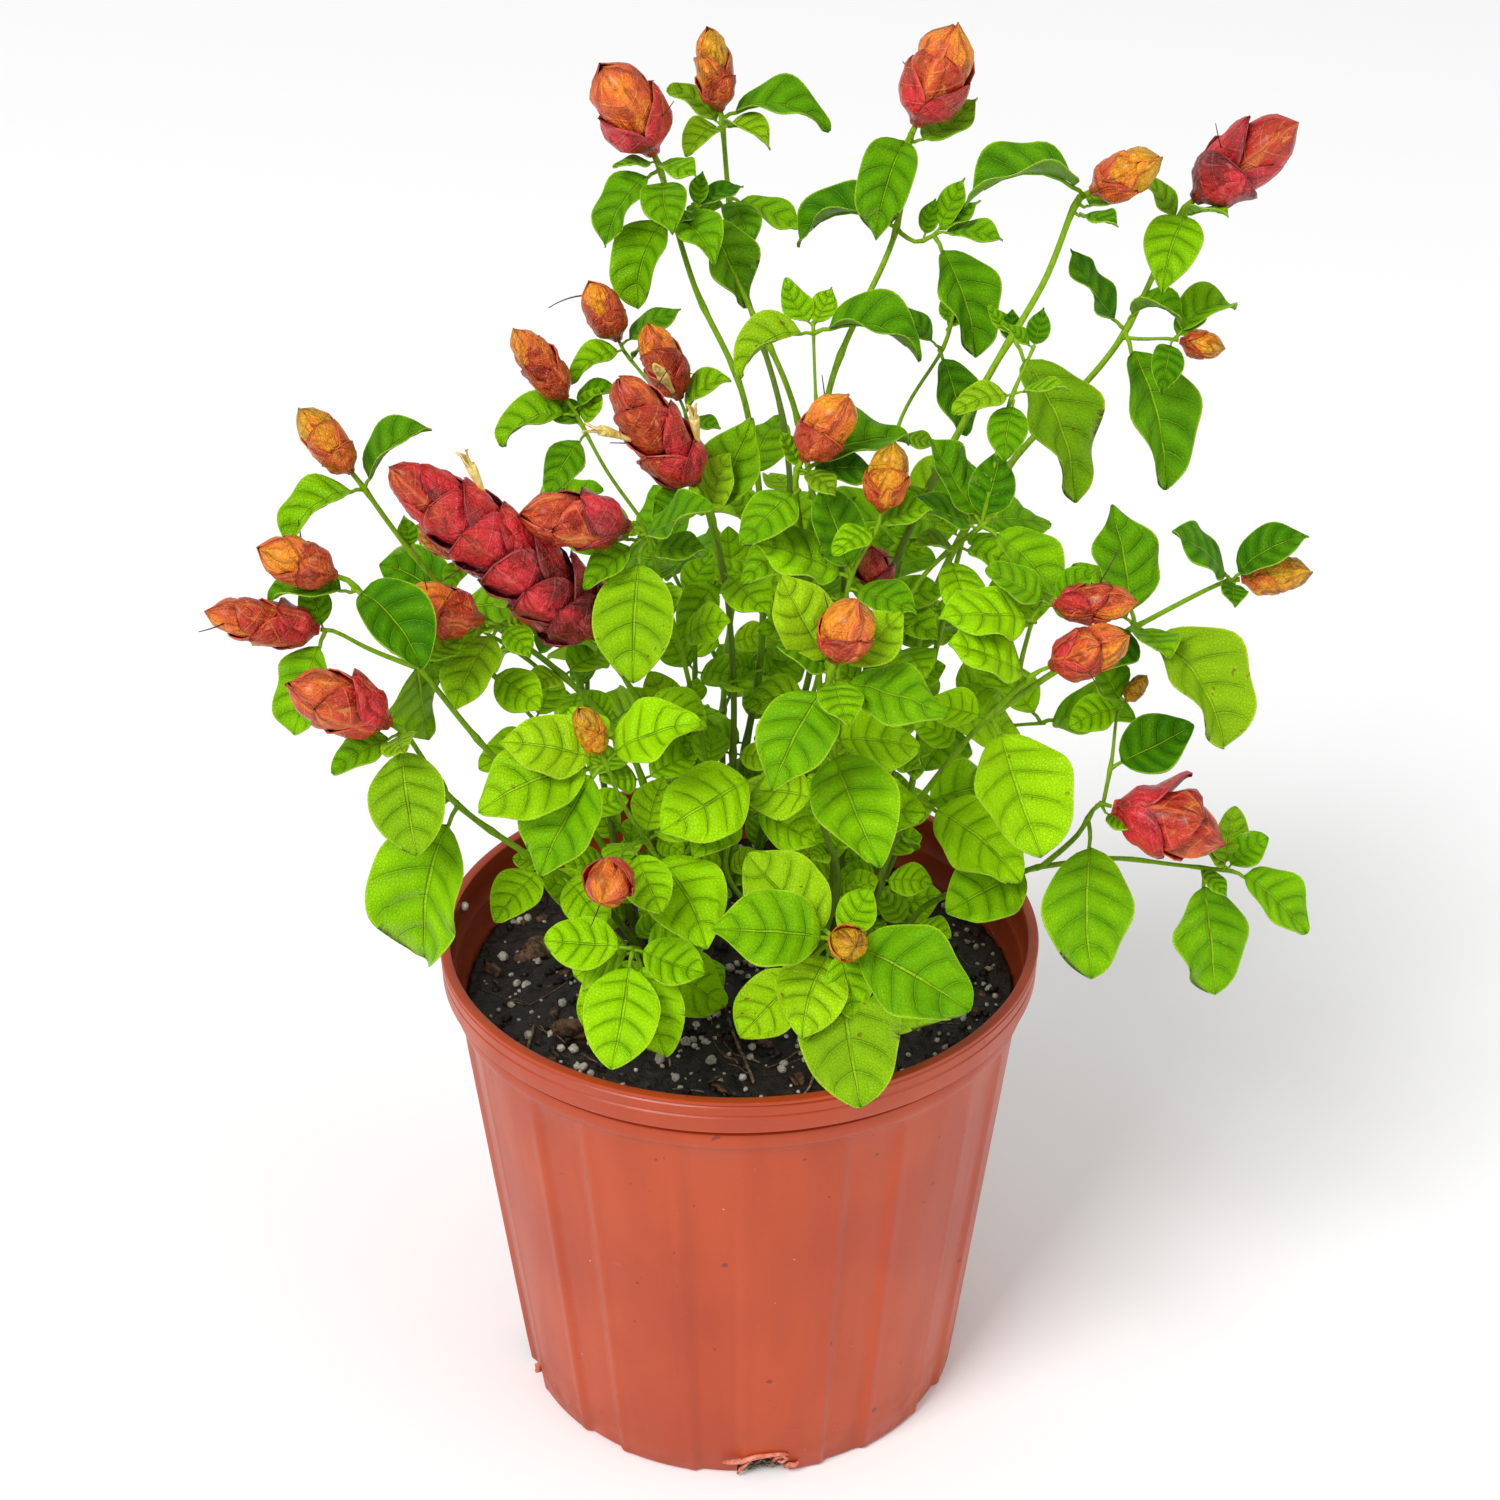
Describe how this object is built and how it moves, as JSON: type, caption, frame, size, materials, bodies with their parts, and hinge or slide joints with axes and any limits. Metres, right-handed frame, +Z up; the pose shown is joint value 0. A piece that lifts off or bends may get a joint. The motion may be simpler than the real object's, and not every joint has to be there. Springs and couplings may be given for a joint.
{
  "type": "shrimp plant",
  "caption": "Potted shrimp plant: branching leafy stems with opposite ovate leaves, overlapping red and yellow bract heads and cream flowers, in soil in a fluted terracotta plastic nursery pot.",
  "frame": {"origin": "on the pot's axis at the flat underside it stands on", "axes": "+Z up along the pot's axis, -Y toward the front of the plant, +X to the right seen from the front"},
  "size_m": [0.3718, 0.2904, 0.4937],
  "materials": {
    "pot_plastic": "semi-gloss terracotta-coloured moulded plastic, lightly scuffed",
    "potting_mix": "dark damp potting mix with bark and white perlite",
    "foliage": "bright green veined leaf with a soft sheen",
    "bract_green": "young yellow-green bracts, finely wrinkled",
    "bract_amber": "amber bracts with yellow tips, finely wrinkled",
    "bract_orange": "orange-red bracts with yellow net veins",
    "bract_red": "brick red bracts, wrinkled, with net veins",
    "bract_crimson": "crimson bracts, wrinkled, with net veins",
    "corolla": "cream, thin and wilting petals"
  },
  "bodies": {
    "root": {"pot": "pot_plastic", "soil": "potting_mix", "leafy_stem_01": "foliage", "leafy_stem_02": "foliage", "leafy_stem_03": "foliage", "leafy_stem_04": "foliage", "leafy_stem_05": "foliage", "leafy_stem_06": "foliage", "leafy_stem_07": "foliage", "leafy_stem_08": "foliage", "leafy_stem_09": "foliage", "leafy_stem_10": "foliage", "leafy_stem_11": "foliage", "leafy_stem_12": "foliage", "leafy_stem_13": "foliage", "leafy_stem_14": "foliage", "leafy_stem_15": "foliage", "leafy_stem_16": "foliage", "leafy_stem_17": "foliage", "leafy_stem_18": "foliage", "leafy_stem_19": "foliage", "leafy_stem_20": "foliage", "leafy_stem_21": "foliage", "leafy_stem_22": "foliage", "leafy_stem_23": "foliage", "leafy_stem_24": "foliage", "flower_head_01": "bract_red", "flower_head_02": "bract_amber", "flower_head_03": "bract_orange", "flower_head_04": "bract_orange", "flower_head_05": "bract_amber", "flower_head_06": "bract_crimson", "flower_head_07": "bract_crimson", "flower_head_08": "bract_amber", "flower_head_09": "bract_red", "flower_head_10": "bract_red", "flower_head_11": "bract_green", "flower_head_12": "bract_red", "flower_head_13": "bract_green", "flower_head_14": "bract_amber", "flower_head_15": "bract_orange", "flower_head_16": "bract_orange", "flower_head_17": "bract_orange", "flower_head_18": "bract_orange", "flower_head_19": "bract_crimson", "flower_head_20": "bract_amber", "flower_head_21": "bract_crimson", "flower_head_22": "bract_orange", "flower_head_23": "bract_orange", "flower_head_24": "bract_red", "flower_head_25": "bract_orange", "flower_head_26": "bract_amber", "flower_head_27": "bract_orange", "flower_head_28": "bract_green", "flower_head_29": "bract_green", "flower_head_30": "bract_red", "corolla_01": "corolla", "corolla_02": "corolla", "corolla_03": "corolla", "corolla_04": "corolla"}
  },
  "joints": []
}
